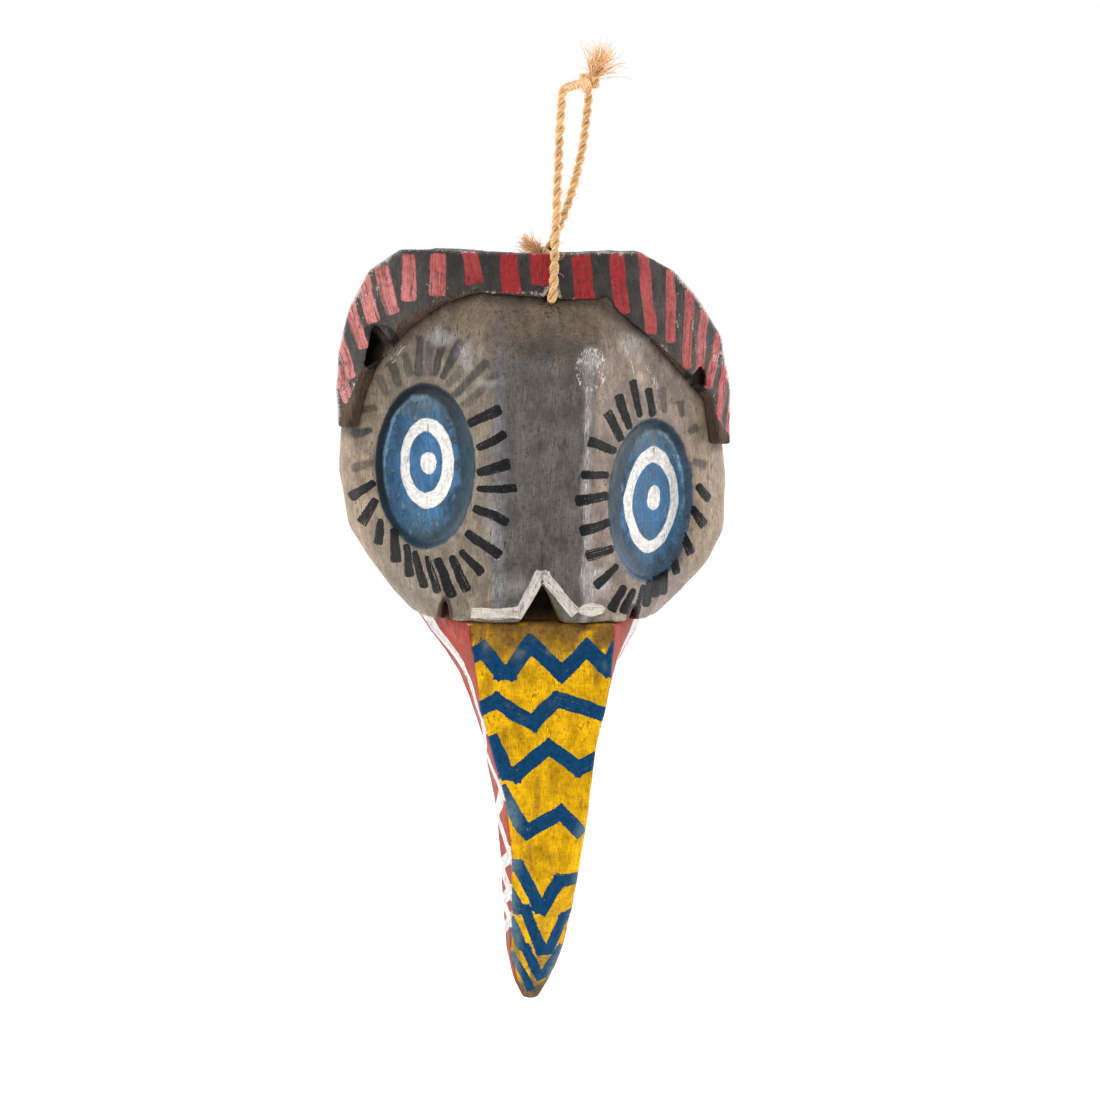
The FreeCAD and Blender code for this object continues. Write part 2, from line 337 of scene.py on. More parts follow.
def wood_colour(g, light, dark):
    """Bare wood: long upright fibres, dark pores and pale patches; also gives its fibre pattern."""
    fibres = g.noise(1.1, (1, 1, 22), 4)
    colour = g.mix(g.ramp(fibres, 0.38, 0.62), dark, light)
    patches = g.ramp(g.noise(17, (1, 1, 3)), 0.45, 0.75, 0, 0.7)
    colour = g.mix(patches, colour, tuple(1.45 * channel for channel in light))
    pores = g.ramp(g.noise(0.5, (1, 1, 14), 2), 0.30, 0.40, 0.45, 1)
    return g.times(colour, pores), fibres


RAW_LIGHT = (0.25, 0.18, 0.115)
RAW_DARK = (0.10, 0.06, 0.04)
DIRT = (0.030, 0.022, 0.016)
CRACK = (0.02, 0.014, 0.010)


def inked(g, colour, height, ink, bristles, streaks, ragged, grime):
    """Lays one ink, given as (distance attribute, colour or attribute, dryness, raggedness)."""
    distance, shade, dryness, raggedness = ink
    if isinstance(shade, str):
        shade = g.attribute(shade, "Vector")
    reach = g.plus(g.attribute(distance), g.product(ragged, raggedness))
    strength = g.attribute(distance + "_strength")
    start, full = (g.minus(level, strength) for level in (dryness, dryness + 0.2))
    mask = g.product(g.ramp(reach, 0.25, -0.25), g.ramp(streaks, start, full))
    depth = g.product(g.ramp(bristles, 0.3, 0.7, 0.86, 1.12), g.ramp(grime, 0.3, 0.6, 0.75, 1.1))
    return g.mix(mask, colour, g.times(shade, depth)), g.plus(height, g.product(mask, 0.10))


def painted_wood(name, inks, worn_colour, raw_light=RAW_LIGHT, raw_dark=RAW_DARK, gloss=0.13):
    """Old paint on carved wood: ground, inks, cracks, wear, dirt, and bare wood where raw is negative."""
    g = Graph(name, Specular_IOR_Level=gloss)
    fine = g.noise(0.6, (1, 1, 8), 4)
    cross = g.noise(0.8, (6, 1, 1), 2)
    blotch = g.noise(9, (1, 1, 1.7), 5)
    grime = g.noise(2.6, detail=5)
    ragged = g.minus(g.noise(1.3, detail=4), 0.5)
    grain = g.minus(fine, 0.5)
    tone = g.plus(g.ramp(fine, 0.3, 0.7, 0.76, 1.14), g.ramp(cross, 0.3, 0.7, -0.09, 0.09))
    tone = g.product(tone, g.ramp(blotch, 0.32, 0.68, 0.74, 1.26))
    tone = g.product(tone, g.ramp(grime, 0.30, 0.48, 0.72, 1.03))
    colour = g.times(g.attribute("tint", "Vector"), tone)
    height = g.product(g.plus(g.plus(fine, cross), grime), 0.14)
    bristles = g.noise(0.8, (1, 2.2, 1), 2, at=g.attribute("brush", "Vector"))
    streaks = g.plus(bristles, g.product(grain, 0.6))
    for ink in inks:
        colour, height = inked(g, colour, height, ink, bristles, streaks, ragged, grime)
    checks = g.math("ABSOLUTE", g.minus(g.noise(5, (1, 1, 9), 3), 0.47))
    crack = g.product(g.ramp(checks, 0.008, 0.002), g.ramp(blotch, 0.50, 0.60))
    colour = g.mix(g.product(crack, 0.75), colour, CRACK)
    height = g.minus(height, g.product(crack, 0.35))
    scratches = g.plus(g.product(ragged, 1.2), g.product(grain, 0.9))
    worn = g.ramp(g.plus(g.attribute("wear"), scratches), 0.48, 0.80, 0, 0.85)
    colour = g.mix(worn, colour, worn_colour)
    dirt = g.ramp(g.plus(g.attribute("dirt"), g.product(ragged, 0.8)), 0.15, 0.9, 0, 0.8)
    colour = g.mix(dirt, colour, DIRT)
    bare, fibres = wood_colour(g, raw_light, raw_dark)
    bare_here = g.ramp(g.plus(g.attribute("raw"), g.product(ragged, 2.4)), 0.3, -0.3)
    colour = g.mix(bare_here, colour, bare)
    height = g.plus(height, g.product(g.product(fibres, bare_here), 0.25))
    roughness = g.plus(g.ramp(blotch, 0.3, 0.7, 0.36, 0.62), g.product(bare_here, 0.25))
    return g.finish(colour, height, roughness)


def bare_wood(name):
    g = Graph(name, Specular_IOR_Level=0.3)
    colour, fibres = wood_colour(g, RAW_LIGHT, RAW_DARK)
    return g.finish(colour, g.product(fibres, 0.25), g.ramp(fibres, 0.3, 0.7, 0.7, 0.85))


def twine_material(name, light, dark):
    """Plant fibre: strands lit by their own spread of shades, with painted shade where two strands meet."""
    g = Graph(name, Specular_IOR_Level=0.4, Sheen_Weight=0.25, Sheen_Roughness=0.5)
    lay = g.attribute("lay", "Vector")
    threads = g.noise(1.0, (0.45, 7, 1), 3, at=lay)
    colour = g.mix(g.ramp(threads, 0.3, 0.7), dark, light)
    colour = g.times(colour, g.ramp(g.noise(7), 0.3, 0.7, 0.85, 1.12))
    colour = g.mix(g.ramp(g.attribute("depth"), 0.0, 1.0), colour, TWINE_GROOVE_SHADE)
    return g.finish(colour, g.product(threads, 0.22), g.ramp(threads, 0.3, 0.7, 0.62, 0.85))


# ---------------------------------------------------------------- hanging cord

PLY_RADIUS = 1.55
PLY_OFFSET = 1.3
PLY_PITCH = 15.0
THREAD_PITCH = 9.0               # of the threads that each ply is spun from
TWINE_GROOVE_SHADE = (0.11, 0.05, 0.02)   # painted shade in the groove between two plies
HOLE_BACK = (5, 62, 214)
TOP_KNOT = (33, 85, 321)
CORD_ROUTE = [
    HOLE_BACK,
    (5, 12, 188.6),
    (5.1, 2.5, 192),
    (9, 18, 311.5),
    (14, 32, 315.5),
    (25, 58, 318.6),
    TOP_KNOT,
    (33, 87.5, 303),
    (28.5, 82, 273),
    (19, 72, 241),
    (8, 62, 219),
]


def spline_line(points, closed=False):
    """The smooth line that a NURBS spline follows, with these points as its control points."""
    curve = bpy.data.curves.new("line", "CURVE")
    curve.dimensions = "3D"
    curve.resolution_u = 24
    spline = curve.splines.new("NURBS")
    spline.points.add(len(points) - 1)
    for control, point in zip(spline.points, points):
        control.co = (*place(*point), 1)
    spline.order_u = 3
    spline.use_endpoint_u = not closed
    spline.use_cyclic_u = closed
    holder = bpy.data.objects.new("line", curve)
    mesh = bpy.data.meshes.new_from_object(holder)
    line = np.array([(v.co - ORIGIN) / MM for v in mesh.vertices])
    bpy.data.objects.remove(holder)
    bpy.data.curves.remove(curve)
    bpy.data.meshes.remove(mesh)
    return np.vstack([line, line[:1]]) if closed else line


def evenly(line, step):
    """The same line with a point about every step, and how far along it each point lies."""
    reach = np.concatenate([[0], np.cumsum(np.linalg.norm(np.diff(line, axis=0), axis=1))])
    along = np.linspace(0, reach[-1], max(int(reach[-1] / step), 3))
    return np.stack([np.interp(along, reach, line[:, k]) for k in range(3)], axis=1), along


def frames(line):
    """Two directions across the line at each point, carried along without twisting."""
    tangents = np.gradient(line, axis=0)
    tangents /= np.linalg.norm(tangents, axis=1, keepdims=True)
    side = np.cross(tangents[0], (0.31, 0.84, 0.44))
    sides = []
    for tangent in tangents:
        side = side - tangent * (side @ tangent)
        side = side / np.linalg.norm(side)
        sides.append(side)
    sides = np.array(sides)
    return sides, np.cross(tangents, sides)


def tube(line, radii, sides_count, turn=0.0):
    """Points and faces of a closed tube; radii has one value per point."""
    first, second = frames(line)
    angles = np.arange(sides_count) * 2 * math.pi / sides_count + turn
    ring = first[:, None] * np.cos(angles)[:, None] + second[:, None] * np.sin(angles)[:, None]
    points = (line[:, None] + ring * np.asarray(radii)[:, None, None]).reshape(-1, 3)
    faces = []
    for row in range(len(line) - 1):
        for k in range(sides_count):
            a, b = row * sides_count + k, row * sides_count + (k + 1) % sides_count
            faces.append((a, b, b + sides_count, a + sides_count))
    return points, faces, angles


def join(parts):
    """One set of points, faces and values from several."""
    points, faces, values, start = [], [], {}, 0
    for part_points, part_faces, part_values in parts:
        points.append(part_points)
        faces.extend(tuple(i + start for i in face) for face in part_faces)
        for key, value in part_values.items():
            values.setdefault(key, []).append(value)
        start += len(part_points)
    return np.concatenate(points), faces, {key: np.concatenate(v) for key, v in values.items()}


def twisted(line, ply_radius, ply_offset, pitch, sides_count=14):
    """Two plies laid round each other along the line, each fluted by its own threads."""
    line, along = evenly(line, 0.6)
    first, second = frames(line)
    parts = []
    for ply in (0, 1):
        angle = 2 * math.pi * along / pitch + ply * math.pi
        outward = first * np.cos(angle)[:, None] + second * np.sin(angle)[:, None]
        wander = 1 + 0.10 * value_noise(line + 40 * ply, 6, 3)
        ply_line = line + outward * ply_offset
        points, faces, angles = tube(ply_line, ply_radius * wander, sides_count)
        centre = np.repeat(ply_line, sides_count, axis=0)
        around = np.tile(angles, len(line))
        run = np.repeat(along, sides_count)
        lean = 2 * math.pi * run / THREAD_PITCH
        flute = 1 + 0.055 * np.cos(5 * around - lean) + 0.05 * value_noise(points, 1.6, ply)
        points = centre + (points - centre) * flute[:, None]
        from_middle = np.linalg.norm(points - np.repeat(line, sides_count, axis=0), axis=1)
        # How far into the groove between the plies each point lies, where the twine gets painted shade.
        depth = smooth_step(from_middle, ply_offset * 1.25, ply_offset * 0.7)
        lay = np.stack([around - lean + 9 * ply, run, run * 0], axis=1)
        parts.append((points, faces, {"lay": lay, "depth": depth}))
    return join(parts)


def hair(start, direction, length, radius, curl, chance):
    """One loose fibre that leaves along a direction and wanders."""
    steps = 9
    line = [np.array(start, float)]
    heading = np.array(direction, float) / np.linalg.norm(direction)
    for _ in range(steps):
        heading = heading + chance.normal(0, curl, 3)
        heading /= np.linalg.norm(heading)
        line.append(line[-1] + heading * length / steps)
    line = np.array(line)
    radii = radius * np.linspace(1, 0.35, len(line))
    points, faces, _ = tube(line, radii, 5)
    run = np.repeat(np.linspace(0, length, len(line)), 5)
    shade = np.full(len(points), chance.random() * 40)
    return points, faces, {"lay": np.stack([shade, run, shade], axis=1), "depth": np.full(len(points), 0.0)}


def stray_hairs(line, count, length, seed):
    """Fine fibres that stand out from a cord."""
    chance = np.random.default_rng(seed)
    line, _ = evenly(line, 0.6)
    first, second = frames(line)
    parts = []
    for i in chance.choice(np.arange(4, len(line) - 4), count):
        angle = chance.random() * 2 * math.pi
        out = first[i] * math.cos(angle) + second[i] * math.sin(angle)
        along = (line[i + 1] - line[i - 1]) * chance.choice([-1, 1])
        direction = out * 0.55 + along / np.linalg.norm(along)
        reach = length * chance.uniform(0.4, 1.2)
        parts.append(hair(line[i] + out * 2.2, direction, reach, 0.11, 0.22, chance))
    return parts


def tuft(base, end, spread, count, radius, seed, curl=0.16):
    """A frayed end: fibres that fan out from the base like a small brush."""
    chance = np.random.default_rng(seed)
    base, end = np.array(base, float), np.array(end, float)
    reach = np.linalg.norm(end - base)
    parts = []
    for _ in range(count):
        offset = chance.normal(0, 1, 3)
        direction = (end - base) + offset * spread
        length = reach * chance.uniform(0.55, 1.08)
        thick = radius * chance.uniform(0.6, 1.2)
        parts.append(hair(base + offset * 0.9, direction, length, thick, curl, chance))
    return parts


def knot_line(centre, size, tilt):
    """The closed line of an overhand knot drawn tight, as a trefoil of the given half sizes."""
    turned = Euler([math.radians(a) for a in tilt]).to_matrix()
    points = []
    for k in range(15):
        t = 2 * math.pi * k / 15
        flat = Vector((
            (math.sin(t) + 2 * math.sin(2 * t)) / 3 * size[0],
            -math.sin(3 * t) * size[1],
            (math.cos(t) - 2 * math.cos(2 * t)) / 3 * size[2],
        ))
        points.append(Vector(centre) + turned @ flat)
    return spline_line(points, closed=True)


def make_cord():
    line = spline_line(CORD_ROUTE)
    cord = mesh_piece("twisted_cord", *twisted(line, PLY_RADIUS, PLY_OFFSET, PLY_PITCH))
    hairs = mesh_piece("cord_hairs", *join(stray_hairs(line, 190, 8, 21)))
    top_line = knot_line(TOP_KNOT, (5.6, 3.4, 5.2), (20, 15, 30))
    top_knot = mesh_piece("tied_top_knot", *twisted(top_line, 1.3, 1.0, 9))
    back_line = knot_line(HOLE_BACK, (5.0, 3.2, 4.8), (10, 60, 0))
    back_knot = mesh_piece("tied_back_knot", *twisted(back_line, 1.3, 1.0, 9))
    top_tail = mesh_piece("frayed_top_tail", *join(
        tuft((35, 85, 324), (46, 85, 345), 3.4, 150, 0.30, 31)
        + tuft((36, 85, 326), (52, 85, 342), 5.0, 22, 0.16, 32, 0.3)
        + tuft((36, 85, 326), (27, 85, 344), 5.0, 10, 0.13, 33, 0.25)
    ))
    back_tail = mesh_piece("frayed_back_tail", *join(
        tuft((1, 62, 217), (-9, 62, 226), 2.2, 120, 0.36, 41, 0.12)
        + tuft((1, 62, 218), (3, 62, 225), 2.6, 40, 0.26, 42, 0.25)
    ))
    laid = twine_material("twine", (0.74, 0.46, 0.20), (0.42, 0.22, 0.085))
    frayed = twine_material("frayed_twine", (0.92, 0.60, 0.30), (0.60, 0.30, 0.12))
    pieces = (
        (cord, laid, "hanging_cord"), (hairs, frayed, None), (top_knot, laid, "top_knot"),
        (back_knot, laid, "back_knot"), (top_tail, frayed, "top_tail"), (back_tail, frayed, "back_tail"),
    )
    for piece, material, node in pieces:
        piece.data.materials.append(material)
        if node:
            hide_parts(node)
        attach(piece, "root")


make_cord()

# ---------------------------------------------------------------- shared carving and paint

def rounded(skin, rounds, keep_crisp):
    """Removes the remesh steps everywhere, then rounds the edges where keep_crisp is 0."""
    skin.points = skin.relaxed(6)
    skin.points = skin.relaxed(rounds, 1 - keep_crisp)


def carve(skin, unevenness, mark_depth, mark_size, seed):
    """Gives the wood its hand-cut unevenness and its shallow tool marks."""
    skin.push(fractal(skin.points, 34, 2, seed) * unevenness)
    count = int(len(skin.points) / mark_size ** 2)
    marks = np.clip(skin.scoops(count, (1, 1, 1.7), seed), 0, mark_size ** 2) / mark_size ** 2
    skin.push((marks - 0.3) * mark_depth * 2)


def blend(colours, new, amount):
    """Moves each point's colour towards a new one by its amount."""
    return colours + (np.array(new) - colours) * np.clip(amount, 0, 1)[:, None]


def plain(colour, points):
    """The same colour for every point."""
    return np.tile(colour, (len(points), 1))


def layered(colours, layers):
    """Blends each (colour, amount) of the layers over the colours in turn."""
    for colour, amount in layers:
        colours = blend(colours, colour, amount)
    return colours


def weathering(skin, rounds=14):
    """Edges that stand out get worn, and hollows hold dirt."""
    stands_out = skin.convexity(rounds)
    skin.values["wear"] = stands_out * 1.4 + 0.25 * fractal(skin.points, 22, 2, 70)
    skin.values["dirt"] = -stands_out * 0.9 + 0.15 * fractal(skin.points, 18, 2, 80) - 0.1


class Ink:
    """One colour of paint as it is laid on stroke by stroke."""

    def __init__(self, skin, name):
        self.skin, self.name = skin, name
        count = len(skin.points)
        self.distance = np.full(count, 50.0)
        self.strength = np.zeros(count)
        self.colour = np.zeros((count, 3))

    def lay(self, distance, brush, strength=0.0, colour=(0, 0, 0)):
        """Adds one stroke where it is nearer than those before it."""
        nearer = distance < self.distance
        self.distance = np.where(nearer, distance, self.distance)
        self.strength = np.where(nearer, strength, self.strength)
        self.colour = np.where(nearer[:, None], colour, self.colour)
        covered = (nearer & (distance < 1.5))[:, None]
        self.skin.values["brush"] = np.where(covered, brush, self.skin.values["brush"])

    def keep(self, where):
        """Wipes the ink off everywhere else."""
        self.distance = np.where(where, self.distance, 50.0)

    def store(self, with_colour=False):
        self.skin.values[self.name] = self.distance
        self.skin.values[self.name + "_strength"] = self.strength
        if with_colour:
            self.skin.values[self.name + "_colour"] = self.colour


def brush_frame(across, along, seed):
    """Coordinates that run with a stroke, for its bristle marks."""
    return np.stack([across, along / 10, np.full(len(across), seed * 7.3)], axis=1)


def finished_piece(name, skin, material, node):
    piece = mesh_piece(name, skin.points, skin.quads, skin.values)
    piece.data.materials.append(material)
    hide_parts(node)
    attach(piece, "root")
    return piece


# ---------------------------------------------------------------- head

LEFT_EYE = (-67.5, 89)
RIGHT_EYE = (69, 70)
DISH = (28.5, 49.5)              # half width and half height of a dish, as seen from the front
HOLLOW = ((30, 95, 48, 54), (60, 97, 72, 74), (96, 99, 86, 86))   # y, middle z, half width, half height

GREY = (0.100, 0.088, 0.079)
DARK_GREY = (0.070, 0.062, 0.056)
LILAC_GREY = (0.150, 0.145, 0.150)
RIGHT_FACET_SIDE_LIT = (0.215, 0.165, 0.135)
LEFT_FACET_SIDE_LIT = (0.190, 0.155, 0.115)
FOREHEAD_BROWN = (0.125, 0.090, 0.064)
TEMPLE_BROWN = (0.145, 0.102, 0.074)
CHEEK_TAN = (0.24, 0.18, 0.125)
PALE_PATCH = (0.34, 0.28, 0.22)
DARK_PATCH = (0.065, 0.055, 0.048)
BROW_STAIN = (0.060, 0.048, 0.040)
FADED_BLACK = (0.030, 0.030, 0.032)
RUBBED_RIDGE = (0.32, 0.295, 0.28)
NOTCH_SHADOW = (0.006, 0.005, 0.005)
SHADE_UNDER_CREST = (0.022, 0.016, 0.012)
SCUFF_GREY = (0.37, 0.35, 0.34)
CHALK = (0.42, 0.40, 0.39)
BLACK = (0.005, 0.005, 0.006)
WORN_HEAD = (0.30, 0.26, 0.23)
EYE_BLUE = (0.030, 0.105, 0.215)
EYE_SLATE = (0.040, 0.088, 0.140)
EYE_DEEP_BLUE = (0.006, 0.022, 0.046)
EYE_TEAL_GREY = (0.075, 0.115, 0.130)
EYE_FOOT = (0.028, 0.056, 0.068)
EYE_SKY = (0.16, 0.26, 0.36)
EYE_EDGE_HIGHLIGHT = (0.20, 0.32, 0.42)
# The lit and the shaded paint of each dish's wall.
LEFT_WALL_LIT_AND_SHADED = ((0.016, 0.036, 0.050), (0.008, 0.013, 0.016))
RIGHT_WALL_LIT_AND_SHADED = ((0.046, 0.074, 0.115), (0.020, 0.032, 0.047))
NOSTRIL_OCHRE = (0.20, 0.12, 0.035)
NOSTRIL_SHADE = (0.02, 0.012, 0.008)
CORNER_RED = (0.035, 0.009, 0.007)
EYE_WHITE = (0.58, 0.555, 0.53)
LIP_CREAM = (0.50, 0.455, 0.40)

# Each lash: outer end and inner end, as (x, z).
LEFT_LASHES = [
    ((-25, 125), (-44, 115)), ((-22, 111), (-38, 101)), ((-19, 93), (-38, 87)), ((-15, 79), (-38, 77)),
    ((-19, 58), (-40, 66)), ((-24, 38), (-44, 51)), ((-34, 27), (-47, 40)), ((-43, 16), (-52, 37)),
    ((-51, 12), (-60, 35)), ((-59, 14), (-66, 36)), ((-67, 16), (-73, 38)), ((-75, 22), (-78, 42)),
    ((-83, 30), (-85, 51)), ((-94, 40), (-92, 56)), ((-104, 52), (-95, 68)), ((-110, 67), (-96, 78)),
]
FADED_LASHES = [
    ((-109, 85), (-97, 90)), ((-109, 106), (-97, 109)), ((-105, 121), (-95, 123)), ((-95, 142), (-89, 130)),
    ((-88, 151), (-83, 136)), ((-80, 157), (-77, 142)), ((-71, 167), (-72, 142)), ((-64, 170), (-67, 143)),
    ((-56, 172), (-63, 143)), ((-48, 165), (-59, 141)), ((-40, 157), (-56, 137)), ((-33, 153), (-52, 131)),
    ((-27, 146), (-47, 125)), ((75, 138), (77, 122)), ((87, 130), (89, 119)), ((100, 114), (93, 110)),
    ((106, 89), (97, 93)),
]
RIGHT_LASHES = [
    ((39, 124), (49, 106)), ((46, 134), (54, 113)), ((55, 143), (61, 120)), ((66, 138), (69, 120)),
    ((27, 107), (46, 100)), ((23, 87), (41, 86)), ((20, 71), (41, 74)), ((23, 53), (43, 58)),
    ((27, 38), (45, 42)), ((33, 20), (48, 32)), ((43, 5), (52, 20)), ((51, 3), (58, 18)),
    ((60, 2), (65, 20)), ((67, 6), (69, 22)), ((73, 11), (74, 28)), ((78, 12), (79, 32)),
    ((87, 24), (84, 38)), ((97, 36), (91, 49)), ((106, 53), (96, 65)), ((109, 69), (100, 78)),
]
# Each eye's white ring: outer middle and half sizes, inner middle and half sizes, lean and squareness.
RINGS = (
    ((-66.0, 90.6), (15.2, 27.0), (-66.6, 91.4), (9.4, 18.4), 0.0, 2.0),
    ((70.2, 69.6), (19.0, 32.2), (70.4, 68.9), (13.3, 23.6), 2.0, 1.75),
)
PUPILS = (((-65, 91), 4.3, 6.6), ((72, 71), 4.3, 7.6))   # middle, half width and half height
NOSTRIL_X = 1.5
LIP_LINE = [(-37, 3.4), (-12, 4.6), (-0.5, 26), (2.6, 26), (19.5, 6.5)]
LIP_END = ((31, 6.2), 8.2, 4.0)   # the last dab of the lip's line: middle, half width and half height
MOUTH_CORNERS = ((-55, 13), (58, 9))   # middle x and height of the dark notches at the ends of the lip
LIP_CRACK = ((1.1, 40), (1.5, 18))
FOREHEAD_CRACK = ((8.8, 187), (12, 173))
CHALK_SPOT = ((28.5, 149), 9.2, 11.5)   # middle, half width and half height
# The crest's lower edge, under which shade is painted on the head.
CREST_LOWER = [
    (-112, 110), (-101, 149), (-81, 172), (-61, 187), (-38, 193), (10, 191), (34, 189), (67, 168), (97, 142),
    (109, 132), (113, 103),
]
# Pale scuffs: middle, half width and half height, strength.
SCUFFS = [
    ((-60, 166), (12, 7), 0.45), ((57, 163), (12, 9), 0.5), ((-30, 62), (6, 16), 0.35),
    ((36, 22), (9, 12), 0.55), ((28, 154), (9, 8), 0.6), ((-46, 152), (6, 12), 0.45),
    ((-14, 20), (10, 9), 0.3), ((-33, 140), (11, 4), 0.45),
]
# Rubbed lines: route, width and how well they still cover.
CHALK_LINES = [
    ([(25.5, 146), (26.5, 90), (25.5, 12)], 3.0, -0.05),
    ([(-62, 172), (-48, 160), (-38, 146)], 3.0, -0.14),
    ([(-80, 160), (-88, 150)], 3.0, -0.04),
    ([(50, 164), (54, 156), (57, 146)], 2.2, 0.0),
    ([(63, 153), (68, 146), (74, 136)], 2.2, 0.0),
    ([(-27, 90), (-26, 40), (-29, 12)], 5.0, -0.12),
    ([(104, 40), (110, 70), (108, 100)], 4.0, -0.10),
    ([(34, 30), (31, 12)], 6.0, -0.06),
]


def hollow_distance(points):
    """How far each point lies outside the hollow's wall; negative inside it."""
    x, y, z = points.T
    depths, middles, widths, heights = zip(*HOLLOW)
    middle, width, height = (np.interp(y, depths, v) for v in (middles, widths, heights))
    reach = np.hypot(x / width, (z - middle) / height)
    return np.where(y > HOLLOW[0][0] - 2, (reach - 1) * np.minimum(width, height), 50)


def head_tint(points, flat):
    """The ground colours of the head under the strokes, with painted side light on the facets and painted
    shade at the crest.
    """
    x, _, z = points.T
    cloud = fractal(points, 30, 3, 5)
    patchy = fractal(points, 12, 3, 8)
    upright = fractal(points / np.array((1, 1, 5)), 9, 3, 9)
    around_eyes = smooth_step(np.abs(x) + 3 * cloud, 26, 34)
    right = smooth_step(x, -10, 10)
    brow = np.hypot(x / 24, (z - 158 - 4 * cloud) / 9)
    colours = layered(plain(GREY, points), [
        (DARK_GREY, smooth_step(upright, 0.1, 0.7) * 0.7),
        (LILAC_GREY, smooth_step(np.abs(x + 26) + 5 * upright, 7, 1) * 0.7),
        # Painted side light: the facets beside the panel are painted lighter, as if lit from the sides.
        (RIGHT_FACET_SIDE_LIT, around_eyes * right * 0.9),
        (LEFT_FACET_SIDE_LIT, around_eyes * (1 - right) * 0.9),
        (FOREHEAD_BROWN, smooth_step(z + 14 * cloud, 146, 176) * 0.9),
        (TEMPLE_BROWN, smooth_step(z + 10 * cloud, 160, 180) * smooth_step(x, 20, 60) * 0.7),
        (CHEEK_TAN, smooth_step(np.abs(x) + 9 * cloud, 86, 106) * 0.9),
        (PALE_PATCH, smooth_step(patchy, 0.3, 0.8) * around_eyes * 0.5),
        (DARK_PATCH, smooth_step(patchy + 0.6 * cloud, -0.35, -0.9) * 0.6),
        (BROW_STAIN, smooth_step(brow + 0.5 * patchy, 1.2, 0.3) * 0.6),
    ])
    chance = np.random.default_rng(12)
    for outer, inner in FADED_LASHES:
        distance, _, _ = stroke(flat, inner, outer, 4.2, 5.6)
        lash = smooth_step(distance + 0.9 * patchy, 0.5, -0.6)
        colours = blend(colours, FADED_BLACK, lash * chance.uniform(0.5, 0.95))
    on_ridge = smooth_step(np.abs(x - 27 - 1.2 * cloud) + 2.2 * patchy, 4.2, 0.6) * smooth_step(z, 152, 140)
    under_crest, _, _ = route_stroke(flat, CREST_LOWER, 6)
    colours = layered(colours, [
        (RUBBED_RIDGE, on_ridge * 0.6),
        # painted shadow on the head, seen through the crest's left notch
        (NOTCH_SHADOW, smooth_step(np.hypot(x + 103, z - 158), 13, 10)),
        # painted shade on the head under the crest's lower edge
        (SHADE_UNDER_CREST, smooth_step(under_crest + 2.5 * cloud, 5, -2) * 0.75),
    ])
    for centre, reach, strength in SCUFFS:
        away = np.hypot((x - centre[0]) / reach[0], (z - centre[1]) / reach[1])
        colours = blend(colours, SCUFF_GREY, smooth_step(away + 0.55 * patchy, 1.15, 0.2) * strength)
    return colours


def dish_tint(colours, points, flat, eye):
    """The blues inside one eye dish: a wall with painted light and shade, a blue floor with a painted
    highlight on its lit edge, and duller patches round its edge.
    """
    x, _, z = points.T
    side = 1 if eye[0] > 0 else -1
    rim = oval(flat, eye, *DISH)
    floor = oval(flat, (eye[0] + side * 1.5, eye[1] - 0.5), DISH[0] - 6.5, DISH[1] - 7.0)
    cloud = fractal(points, 13, 3, 30)
    mottle = fractal(points, 5, 3, 34)
    up = (z - eye[1]) / DISH[1] + 0.20 * cloud
    outward = side * (x - eye[0]) / DISH[0] + 0.2 * cloud
    off_iris = smooth_step(np.hypot(up * 1.15, outward * 1.05) + 0.25 * mottle, 0.50, 0.80)
    edge = np.abs(floor + 0.5 + 0.8 * cloud)
    # Painted highlight: a pale line round the floor's edge, kept only on its upper and outer side where
    # light falls.
    lit_edge = smooth_step(up, -0.5, 0.2) * smooth_step(outward, -0.3, 0.2)
    # Painted light and shade on the wall: lighter on the side towards the light, darker on the side away
    # from it.
    lit_wall, shaded_wall = RIGHT_WALL_LIT_AND_SHADED if side > 0 else LEFT_WALL_LIT_AND_SHADED
    from_light = -0.5 * outward if side > 0 else 0.65 * outward
    shaded = smooth_step(0.75 * up + from_light + 0.35, 0.0, 0.7)
    painted_wall_shade = blend(plain(lit_wall, points), shaded_wall, shaded)
    blue = layered(plain(EYE_BLUE, points), [
        (EYE_SLATE, off_iris * 0.75),
        (EYE_TEAL_GREY, smooth_step(up + 0.3 * mottle, 0.45, 0.80) * 0.85),
        (EYE_DEEP_BLUE, smooth_step(-outward + 0.4 * mottle, 0.15, 0.7) * off_iris * 0.9),
        (EYE_FOOT, smooth_step(-up + 0.2 * mottle, 0.62, 0.85) * 0.85),
        (EYE_SKY, smooth_step(mottle + 0.3 * cloud, 0.3, 0.7) * off_iris * 0.6),
        (EYE_EDGE_HIGHLIGHT, smooth_step(edge + 1.6 * mottle, 1.3, 0.2) * lit_edge * 0.6),
        (painted_wall_shade, smooth_step(floor + 0.6 * mottle, -0.6, 1.0) * 0.92),
    ])
    return blend(colours, blue, smooth_step(rim + 0.5 * mottle, 0.5, -0.5))


